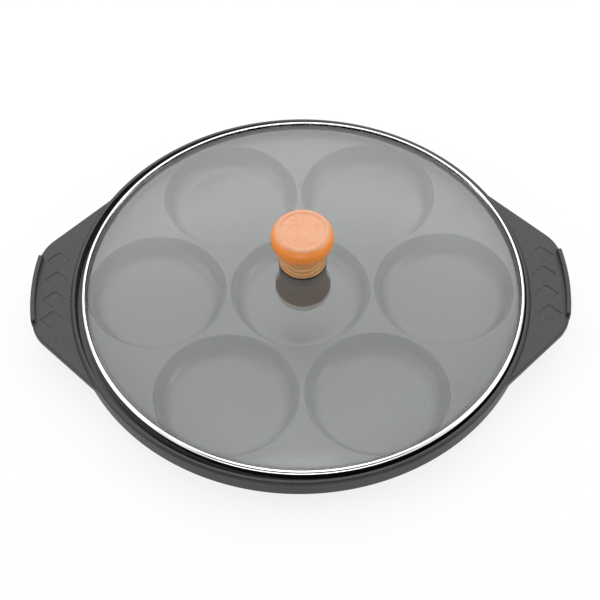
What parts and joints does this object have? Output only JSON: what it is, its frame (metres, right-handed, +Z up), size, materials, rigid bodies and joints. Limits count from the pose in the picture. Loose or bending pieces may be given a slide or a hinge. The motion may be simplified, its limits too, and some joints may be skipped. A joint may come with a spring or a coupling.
{
  "type": "pancake pan",
  "caption": "Round cast pancake pan with shallow round wells, flat side ears and a domed glass lid with a steel band and a turned wooden knob.",
  "frame": {"origin": "centre of the pan's base, on the surface that it stands on", "axes": "+Z up, along the knob; +X along the two ears; the pictured front is at -Y"},
  "size_m": [0.293, 0.25, 0.0677],
  "materials": {
    "coated_cast_aluminium": "dark grey non-stick coat, satin",
    "clear_glass": "clear tempered",
    "polished_steel": "polished stainless steel",
    "plated_steel": "plain stainless steel",
    "oiled_beech": "turned and oiled, warm orange brown",
    "brass": "machined",
    "black_silicone": "matt"
  },
  "bodies": {
    "pan": {"pan": "coated_cast_aluminium"},
    "lid": {"lid_glass": "clear_glass", "lid_band": "polished_steel", "knob": "oiled_beech", "knob_insert": "brass", "knob_washer": "black_silicone", "lid_grommet": "black_silicone", "screw_washer": "plated_steel", "knob_screw": "plated_steel"}
  },
  "joints": [
    {"name": "lid_lift", "type": "slide", "parent": "pan", "child": "lid", "axis": [0, 0, 1], "range_m": [0, 0.12]}
  ]
}
